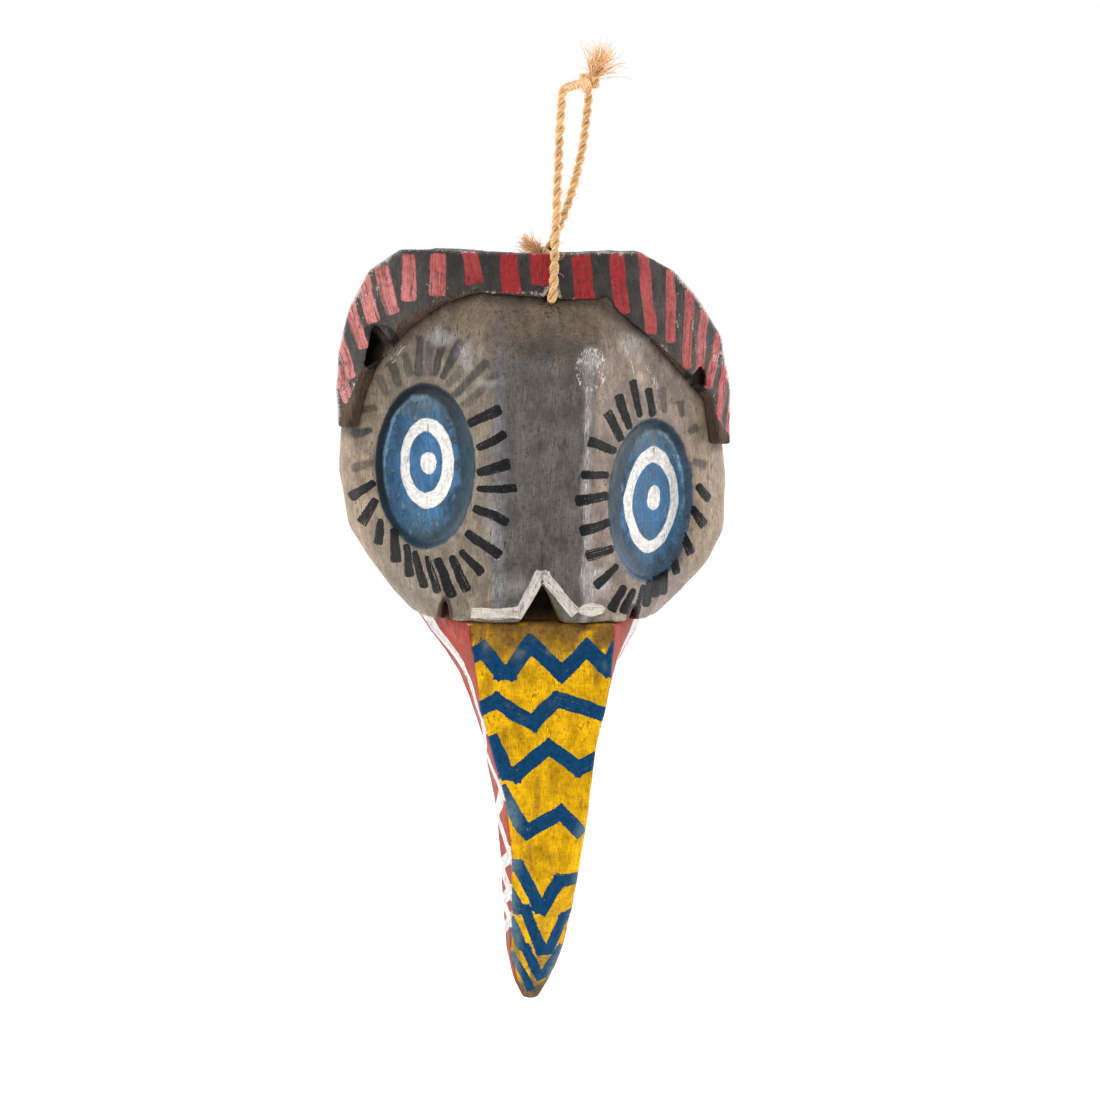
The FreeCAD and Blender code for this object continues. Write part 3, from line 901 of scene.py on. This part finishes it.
def paint_whites(skin, flat, front):
    """The rings and pupils of the eyes, and the line along the lip."""
    white = Ink(skin, "white")
    for number, (centre, outer, hole_centre, hole, lean, power) in enumerate(RINGS):
        hole_distance = oval(flat, hole_centre, *hole, lean, power)
        ring = np.maximum(oval(flat, centre, *outer, lean, power), -hole_distance)
        offset = flat - np.array(centre)
        angle = np.arctan2(offset[:, 1], offset[:, 0])
        white.lay(ring, brush_frame(np.hypot(*offset.T), angle * 20, number), 0.14, EYE_WHITE)
    for number, (centre, half_width, half_height) in enumerate(PUPILS):
        dot = oval(flat, centre, half_width, half_height, 4)
        white.lay(dot, brush_frame(flat[:, 0] - centre[0], flat[:, 1], 5 + number), 0.16, EYE_WHITE)
    distance, along, across = route_stroke(flat, LIP_LINE, 6.6)
    white.lay(distance, brush_frame(across, along, 8), -0.05, LIP_CREAM)
    white.lay(oval(flat, *LIP_END), brush_frame(flat[:, 1], flat[:, 0], 9), -0.05, LIP_CREAM)
    white.keep(front)
    white.store(with_colour=True)


def paint_chalk(skin, flat, front):
    """The whitish rubbed lines along the ridges of the forehead and the panel."""
    chalk = Ink(skin, "chalk")
    for number, (route, width, strength) in enumerate(CHALK_LINES):
        for start, end in zip(route, route[1:]):
            distance, along, across = stroke(flat, start, end, width, width)
            chalk.lay(distance, brush_frame(across, along, 90 + number), strength)
    spot = oval(flat, *CHALK_SPOT)
    turning = brush_frame(flat[:, 0] * 0.8, flat[:, 1] * 8, 99)
    chalk.lay(spot, turning, -0.14 + 0.14 * smooth_step(flat[:, 1], 144, 154))
    chalk.lay(np.abs(spot) - 0.9, turning, 0.04)
    chalk.keep(front)
    chalk.store()


def paint_lashes(skin, flat, front):
    """The black strokes round the eyes, which thin out towards their ends."""
    black = Ink(skin, "black")
    chance = np.random.default_rng(7)
    for outer, inner in LEFT_LASHES + RIGHT_LASHES:
        wide = chance.uniform(5.2, 7.2)
        distance, along, across = stroke(flat, inner, outer, wide * chance.uniform(0.6, 0.85), wide)
        fading = 0.06 - 0.12 * smooth_step(along, 6, 24) * chance.random()
        black.lay(distance, brush_frame(across, along, chance.integers(50)), fading)
    outside = np.minimum(oval(flat, LEFT_EYE, *DISH), oval(flat, RIGHT_EYE, *DISH)) > -1.5
    black.keep(front & outside)
    black.store()


def head_shape():
    """The head's carved surface, and how crisp its edges are kept at each point."""
    skin = remeshed("head", HEAD_VOXEL)
    x, y, z = skin.points.T
    flat = skin.points[:, [0, 2]]
    rims = np.minimum(np.abs(oval(flat, LEFT_EYE, *DISH)), np.abs(oval(flat, RIGHT_EYE, *DISH)))
    corners = np.minimum.reduce([np.hypot(x - corner_x, z - 3) for corner_x, _ in MOUTH_CORNERS]) - 10
    lip_notches = np.minimum(np.hypot(x - NOSTRIL_X, z - 10) - 16, corners)
    crisp = np.maximum(smooth_step(rims, 8, 3), smooth_step(lip_notches, 5, 0)) * 0.82
    rounded(skin, 34, crisp)
    x, y, z = skin.points.T
    cheeks = np.maximum(smooth_step(np.hypot(x, z - 95), 84, 104), smooth_step(z, 158, 178)) * (y < 90)
    skin.points = skin.relaxed(90, cheeks * smooth_step(z, 4, 20) * (1 - crisp), keep_size=True)
    inside = smooth_step(hollow_distance(skin.points), 6, 3)
    carve(skin, 0.6, 0.22 + 0.85 * inside, 8.5, 3)
    carve(skin, 0, 1.3 * inside, 15, 4)
    return skin, crisp


def make_head():
    skin, crisp = head_shape()
    drawn = hand_drawn(skin.points, 0.9, 9, 40)
    for crack, depth in ((LIP_CRACK, 1.3), (FOREHEAD_CRACK, 1.0)):
        distance, _, _ = stroke(drawn, *crack, 0.6, 0.6)
        skin.push(-depth * smooth_step(distance, 1.1, -0.1) * (skin.points[:, 1] < 40))
    skin.values["brush"] = np.zeros_like(skin.points)
    front = (skin.normals()[:, 1] < 0.25) & (hollow_distance(skin.points) > 5)
    tint = head_tint(skin.points, drawn)
    for eye in (LEFT_EYE, RIGHT_EYE):
        tint = dish_tint(tint, skin.points, hand_drawn(skin.points, 0.5, 12, 60), eye)
    x, y, z = skin.points.T
    in_nostril = (np.abs(x - NOSTRIL_X) < 15 * np.clip(1.15 - z / 21, 0, 1)) & (y > 1.6) & (z < 24)
    # The nostril notch is ochre, with painted shade that darkens further back into it.
    tint = layered(tint, [(NOSTRIL_OCHRE, in_nostril), (NOSTRIL_SHADE, in_nostril * smooth_step(y, 12, 28))])
    for corner_x, height in MOUTH_CORNERS:
        reach = np.hypot((x - corner_x) / 4.8, (z + 2) / (height + 2))
        tint = blend(tint, CORNER_RED, smooth_step(reach, 1.08, 0.85) * (y < 60) * 0.95)
    skin.values["tint"] = tint
    paint_chalk(skin, drawn, front)
    paint_lashes(skin, drawn, front)
    paint_whites(skin, drawn, front & ~in_nostril)
    weathering(skin)
    skin.values["wear"] *= 1 - 0.6 * crisp
    behind = DEPTH - 2 - y + 1.2 * fractal(skin.points, 9, 2, 90)
    skin.values["raw"] = np.minimum(hollow_distance(skin.points) - 4, behind)
    inks = [("chalk", CHALK, 0.46, 2.6), ("black", BLACK, 0.22, 1.3), ("white", "white_colour", 0.20, 0.9)]
    finished_piece("carved_head", skin, painted_wood("painted_head", inks, WORN_HEAD), "head")


# ---------------------------------------------------------------- crest

CREST_CENTRE = (0, 100)
CREST_THICK = 28.0
CREST_GREY = (0.050, 0.043, 0.039)
CREST_BLACK = (0.016, 0.014, 0.013)
CREST_PALE = (0.10, 0.085, 0.078)
CREST_TOP = (0.045, 0.038, 0.034)
CREST_RUBBED = (0.16, 0.14, 0.135)
WORN_CREST = (0.42, 0.33, 0.30)
# The crest's bare wood, painted darker than the head's as painted shade under the crest.
SHADED_RAW_LIGHT = (0.075, 0.047, 0.029)
SHADED_RAW_DARK = (0.028, 0.017, 0.011)
CRIMSON = (0.25, 0.011, 0.013)
FADED_RED = (0.33, 0.055, 0.055)
PINK = (0.50, 0.20, 0.185)
DULL_RED = (0.17, 0.045, 0.040)
STRIPE_REACH = 4.0               # how far the middle and right stripes run on past their lower ends
# z and x of the lines inside which the two ends are bare wood.
BARE_LEFT = ((112, -119), (134, -110), (154, -102))
BARE_RIGHT = ((108, 120), (118, 112), (128, 106), (143, 97))
NOTCHES = ((-96, 159, 14), (98, 143, 9))   # x, z and reach of each side notch

# Each stripe from the top edge to the bottom one, as (x, z).
STRIPES = [
    ((-120, 147), (-112, 126)), ((-119, 166), (-111, 140)), ((-113, 185), (-104, 158)),
    ((-106, 202), (-98, 174)), ((-95, 207), (-87, 179)), ((-79, 215), (-78, 187)),
    ((-62, 216), (-62, 190)), ((-44, 217), (-40, 198)), ((-21, 216), (-19, 194)),
    ((-1, 217), (-1, 202)), ((22, 216), (25, 192)), ((44, 217), (48, 185)),
    ((60, 219), (66, 174)), ((78, 209), (79, 169)), ((91, 197), (90, 153)),
    ((101, 185), (98, 143)), ((111, 171), (105, 141)), ((116, 153), (112, 118)),
    ((121, 132), (119, 108)),
]


def crest_front(x):
    """How far back the crest's front face lies."""
    return 12 + 42 * (x / 120) ** 2


def paint_stripes(skin, drawn, cloud):
    """The red stripes: deep in the middle, duller and drier towards the ends, pinkest on the left."""
    red = Ink(skin, "red")
    chance = np.random.default_rng(9)
    for top, bottom in STRIPES:
        left = top[0] < 0
        near_middle = 1 - abs(top[0]) / 120
        wide = 7.2 + 6.8 * near_middle if left else 5.6 + 10 * near_middle ** 2
        drop = np.array(bottom) - top
        bottom = np.array(bottom) + drop / np.linalg.norm(drop) * STRIPE_REACH * (top[0] > -40)
        distance, along, across = stroke(drawn, top, bottom, wide * chance.uniform(0.75, 1.05), wide * 0.95)
        grain = value_noise(brush_frame(across, along, top[0]), 1.7)
        shade = layered(plain(CRIMSON, drawn), [
            (FADED_RED, smooth_step(near_middle + 0.2 * cloud, 0.75, 0.45)),
            (PINK, smooth_step(near_middle + 0.4 * cloud, 0.55, 0.1) * (0.65 if left else 0.15)),
            (DULL_RED, smooth_step(grain, 0.0, 0.8) * smooth_step(near_middle, 0.7, 0.4) * 0.7),
        ])
        brush = brush_frame(across, along, chance.integers(50))
        red.lay(distance, brush, -0.03 + 0.10 * near_middle, shade)
    return red


def bare_crest(skin, drawn, depth, in_notch):
    """Negative where the crest is bare wood: its bevel, its back and the strips along its lower edge."""
    x, _, z = skin.points.T
    inward = np.array(CREST_CENTRE) - skin.points[:, [0, 2]]
    inward /= np.linalg.norm(inward, axis=1, keepdims=True)
    facing = np.einsum("ij,ij->i", skin.normals()[:, [0, 2]], inward)
    bevel = np.maximum(1.5 - depth, (0.3 - facing) * 9)
    left_end = np.where((x < -85) & (z < 158), np.interp(z, *zip(*BARE_LEFT)) - x, 50)
    right_end = np.where((x > 85) & (z < 143), x - np.interp(z, *zip(*BARE_RIGHT)), 50)
    lower_strip, _, _ = route_stroke(drawn, CREST_LOWER[1:5], 8)
    front = np.minimum.reduce([bevel, left_end, right_end, lower_strip + 1.5]) + 30 * in_notch
    return np.minimum(front, CREST_THICK - 2 - depth)


def make_crest():
    skin = remeshed("crest", TRIM_VOXEL)
    rounded(skin, 6, 0)
    skin.points = skin.relaxed(45, keep_size=True)
    chips = smooth_step(fractal(skin.points, 9, 2, 17), 0.25, 0.75)
    carve(skin, 0.9, 0.6, 9, 13)
    skin.push(-1.3 * chips * smooth_step(skin.convexity(10), 0.15, 0.5))
    x, y, z = skin.points.T
    depth = y - crest_front(x)
    normal = skin.normals()
    cloud = fractal(skin.points, 26, 3, 21)
    drawn = hand_drawn(skin.points, 1.1, 10, 50)
    skin.values["brush"] = np.zeros_like(skin.points)
    red = paint_stripes(skin, drawn, cloud)
    red.keep((normal[:, 1] < 0.1) & (depth < 9))
    red.store(with_colour=True)
    weathering(skin, 10)
    notches = np.minimum.reduce([np.hypot(x - a, z - b) - reach for a, b, reach in NOTCHES])
    in_notch = (depth > 1.0) & (notches < 0)
    at_ends = smooth_step(np.abs(x), 50, 100) * smooth_step(normal[:, 1], 0.2, -0.6)
    wear = 1.5 * skin.values["wear"] + 0.25 * at_ends - 0.8 * smooth_step(notches, 6, 2)
    skin.values["wear"] = wear
    rubbed = smooth_step(wear + 0.3 * cloud, 0.35, 0.9) * smooth_step(normal[:, 1], 0.1, -0.3)
    skin.values["tint"] = layered(plain(CREST_GREY, skin.points), [
        (CREST_BLACK, smooth_step(np.abs(x) + 14 * cloud, 92, 30)),
        (CREST_PALE, smooth_step(fractal(skin.points, 8, 3, 23), 0.3, 0.8) * 0.6),
        (CREST_TOP, smooth_step(normal[:, 2] - 0.5 * normal[:, 1], 0.3, 0.8) * 0.9),
        (CREST_RUBBED, rubbed * 0.7),
        # painted shadow inside the notches
        (NOTCH_SHADOW, in_notch * 0.95),
    ])
    skin.values["raw"] = bare_crest(skin, drawn, depth, in_notch)
    material = painted_wood(
        "painted_crest", [("red", "red_colour", 0.24, 1.8)], WORN_CREST, SHADED_RAW_LIGHT, SHADED_RAW_DARK, 0.25
    )
    finished_piece("carved_crest", skin, material, "crest")


# ---------------------------------------------------------------- beak

# Down the beak: z, middle x, half width of the front, y of its side edges, half width and y of the back.
BEAK_SECTIONS = [
    (-2, 2, 44, 7, 71, 84), (-12, 2.5, 43.5, 5.5, 64.5, 70), (-24, 3, 42, 4.5, 55.5, 61),
    (-37, 3.5, 40.5, 2.5, 47.5, 54), (-54, 3, 38, 0.5, 40, 48),
    (-75, 3.2, 32, -2.5, 33, 42), (-111, 5.9, 24.8, -6.5, 28.5, 36), (-141, 5.3, 21, -6.5, 24.5, 32),
    (-171, 4.1, 19, -1.5, 21.5, 28), (-201, 1.5, 15.5, 7, 16.5, 25), (-231, 0, 4.5, 17, 4.5, 22),
]
# Each blue zigzag: route and width.
ZIGZAGS = [
    ([(-40, -22), (-33, -18), (-23, -31), (-17, -31), (-5, -14), (14, -32), (29, -17), (41, -29),
      (49, -14)], 9.5),
    ([(-35, -53), (-25, -48), (-15, -55), (-3, -61), (11, -47), (36, -55)], 9.0),
    ([(-27, -72), (-19, -90), (-13, -91), (6, -75), (24, -87), (32, -83)], 9.0),
    ([(-21, -102), (-10, -121), (-6, -125), (13, -113), (24, -124)], 8.5),
    ([(-16, -146), (-11, -146), (2, -170), (4, -171), (13, -154), (24, -153)], 8.0),
    ([(-15, -164), (-10, -173), (-6, -173), (4, -197), (9, -197), (17, -178), (22, -176)], 7.0),
    ([(-14, -181), (-8, -195), (-5, -197), (4, -215), (7, -214), (14, -201), (16, -198)], 6.0),
    ([(-13, -202), (-6, -213), (-1, -223)], 5.0),
]
# The white zigzag of each side: share of the way from the front edge to the back edge, z.
SIDE_ZIGZAG = [
    (0.85, 0), (0.55, -30), (0.08, -63), (0.9, -82), (0.08, -101), (0.9, -120), (0.08, -140), (0.9, -152),
    (0.08, -163), (0.9, -172), (0.08, -180), (0.9, -190),
]
YELLOW = (0.60, 0.325, 0.003)
YELLOW_BROWN = (0.165, 0.085, 0.022)
YELLOW_SOOT = (0.035, 0.026, 0.018)
YELLOW_DULL = (0.42, 0.21, 0.008)
YELLOW_STREAK = (0.22, 0.10, 0.015)
YELLOW_FOOT = (0.20, 0.13, 0.05)
BRICK_RED = (0.23, 0.030, 0.018)
BRICK_PALE = (0.34, 0.09, 0.07)
BEAK_TIP = (0.06, 0.045, 0.033)
WORN_BEAK = (0.40, 0.27, 0.10)
ZIGZAG_BLUE = (0.003, 0.042, 0.11)
ZIGZAG_PALE = (0.075, 0.13, 0.16)
ZIGZAG_OLIVE = (0.10, 0.12, 0.09)
ZIGZAG_GREY = (0.11, 0.15, 0.17)
ZIGZAG_WHITE = (0.46, 0.44, 0.43)


def beak_section(z):
    """The beak's measures at each height, between those given."""
    heights, *columns = zip(*reversed(BEAK_SECTIONS))
    return [np.interp(z, heights, column) for column in columns]


def paint_blue_zigzags(skin, drawn, cloud, streaks, patches):
    """The blue zigzags across the front, paler towards the edges and stained near the lip."""
    x, _, z = skin.points.T
    middle, half_front, *_ = beak_section(z)
    to_side = smooth_step(np.abs(x - middle) / half_front + 0.2 * cloud, 0.6, 0.95)
    shade = layered(plain(ZIGZAG_BLUE, drawn), [
        (ZIGZAG_PALE, to_side * smooth_step(z, -90, -120)),
        (ZIGZAG_OLIVE, smooth_step(z + 12 * cloud, -40, -12) * smooth_step(patches, 0.0, 0.6) * 0.6),
        (ZIGZAG_GREY, smooth_step(patches - 0.4 * streaks, 0.25, 0.8) * smooth_step(z, -70, -30) * 0.6),
    ])
    blue = Ink(skin, "blue")
    for number, (route, width) in enumerate(ZIGZAGS):
        distance, along, across = route_stroke(drawn, route, width)
        blue.lay(distance, brush_frame(across, along, number * 5), 0.08, shade)
    return blue


def paint_side_zigzags(skin, drawn):
    """The white zigzag that runs down each side, drawn on the side laid flat."""
    _, y, z = skin.points.T
    _, half_front, front_y, half_back, back_y = beak_section(z)
    share = (y - front_y) / (back_y - front_y)
    reach = np.hypot(back_y - front_y, half_back - half_front)
    unrolled = np.stack([share * reach, z], axis=1) + (drawn - skin.points[:, [0, 2]])
    corners = []
    for corner_share, corner_z in SIDE_ZIGZAG:
        _, half_front, front_y, half_back, back_y = beak_section(corner_z)
        corners.append((corner_share * np.hypot(back_y - front_y, half_back - half_front), corner_z))
    white = Ink(skin, "white")
    for number, (start, end) in enumerate(zip(corners, corners[1:])):
        distance, along, across = route_stroke(unrolled, [start, end], 11.0 - 0.3 * number)
        white.lay(distance, brush_frame(across, along, 60 + number), 0.06)
    return white


def make_beak():
    skin = remeshed("beak", TRIM_VOXEL)
    rounded(skin, 9, 0)
    carve(skin, 0.7, 0.30, 8, 23)
    x, y, z = skin.points.T
    middle, half_front, front_y, _, back_y = beak_section(z)
    normal = skin.normals()
    cloud = fractal(skin.points, 24, 3, 31)
    streaks = fractal(skin.points / np.array((1, 1, 7)), 5, 3, 33)
    patches = fractal(skin.points, 10, 3, 37)
    drawn = hand_drawn(skin.points, 1.0, 10, 52)
    side = np.maximum(front_y - y - 0.5, half_front - 1.0 - np.abs(x - middle))
    near_lip = smooth_step(z + 10 * cloud, -40, -8)
    red = blend(plain(BRICK_RED, drawn), BRICK_PALE, smooth_step(patches, 0.1, 0.7) * 0.5)
    skin.values["tint"] = layered(plain(YELLOW, drawn), [
        (YELLOW_BROWN, near_lip * smooth_step(patches + 0.45 * near_lip, -0.15, 0.4) * 0.95),
        (YELLOW_SOOT, near_lip * smooth_step(streaks - 0.3 * patches, 0.2, 0.7) * 0.8),
        (YELLOW_DULL, smooth_step(patches, 0.15, 0.6) * 0.7),
        (YELLOW_STREAK, smooth_step(streaks + 0.3 * cloud, 0.35, 0.75) * 0.55),
        (YELLOW_FOOT, smooth_step(z + 14 * cloud, -150, -215) * smooth_step(streaks, -0.2, 0.4) * 0.6),
        (red, smooth_step(side + 0.5 * streaks, 0.5, -0.5)),
        (BEAK_TIP, smooth_step(z + 5 * cloud, -212, -223) * 0.9),
    ])
    skin.values["brush"] = np.zeros_like(skin.points)
    blue = paint_blue_zigzags(skin, drawn, cloud, streaks, patches)
    blue.keep((side > -0.6) & (normal[:, 1] < 0.2))
    blue.store(with_colour=True)
    white = paint_side_zigzags(skin, drawn)
    white.keep((side < 0.2) & (normal[:, 1] < 0.4))
    white.store()
    weathering(skin, 12)
    behind = np.where(normal[:, 1] > 0.3, back_y - 3.0 - y, 20.0)
    top_edge = np.where((y > 60) & (normal[:, 1] > -0.1), -5 - z, 20.0)
    skin.values["raw"] = np.minimum(behind, top_edge)
    inks = [("blue", "blue_colour", 0.20, 1.3), ("white", ZIGZAG_WHITE, 0.26, 1.3)]
    material = painted_wood("painted_beak", inks, WORN_BEAK, gloss=0.05)
    finished_piece("carved_beak", skin, material, "beak")


# ---------------------------------------------------------------- pegs, stage and light

def finish_pegs():
    material = bare_wood("peg_wood")
    for node in ("beak_pegs", "crest_pegs"):
        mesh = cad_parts[node].data
        mesh.materials.clear()
        mesh.materials.append(material)


def make_stage():
    bpy.ops.mesh.primitive_plane_add(size=16, location=place(0, 0, -330))
    floor = bpy.context.object
    floor.name = "floor"
    g = Graph("pale_floor", Specular_IOR_Level=0.2)
    speckle = g.noise(6, detail=4)
    value = g.ramp(speckle, 0.3, 0.7, 0.90, 0.94)
    colour = g.add("CombineColor", {0: value, 1: value, 2: value})
    roughness = g.ramp(speckle, 0.3, 0.7, 0.8, 0.9)
    floor.data.materials.append(g.finish(colour, g.product(speckle, 0.05), roughness))


def area_light(name, position, size, power):
    data = bpy.data.lights.new(name, "AREA")
    data.shape = "RECTANGLE"
    data.size, data.size_y = size
    data.energy = power
    light = bpy.data.objects.new(name, data)
    light.location = position
    light.rotation_euler = (AIM - light.location).to_track_quat("-Z", "Y").to_euler()
    bpy.context.scene.collection.objects.link(light)


def make_light():
    scene = bpy.context.scene
    world = bpy.data.worlds.new("studio")
    world.use_nodes = True
    world.node_tree.nodes["Background"].inputs["Color"].default_value = (1, 1, 1, 1)
    world.node_tree.nodes["Background"].inputs["Strength"].default_value = 1.0
    scene.world = world
    scene.view_settings.view_transform = "Standard"
    sun = bpy.data.objects.new("overhead", bpy.data.lights.new("overhead", "SUN"))
    sun.data.energy = 0.6
    sun.data.angle = math.radians(70)
    sun.rotation_euler = (math.radians(15), 0, 0)
    scene.collection.objects.link(sun)
    area_light("left_side", AIM + Vector((-1.6, 0.5, 0.3)), (1.0, 1.8), 34)
    area_light("right_side", AIM + Vector((1.6, 0.5, 0.3)), (1.0, 1.8), 34)
    area_light("front_top", AIM + Vector((-0.5, -1.4, 1.5)), (1.0, 0.8), 4)


make_head()
make_crest()
make_beak()
finish_pegs()
make_stage()
make_light()
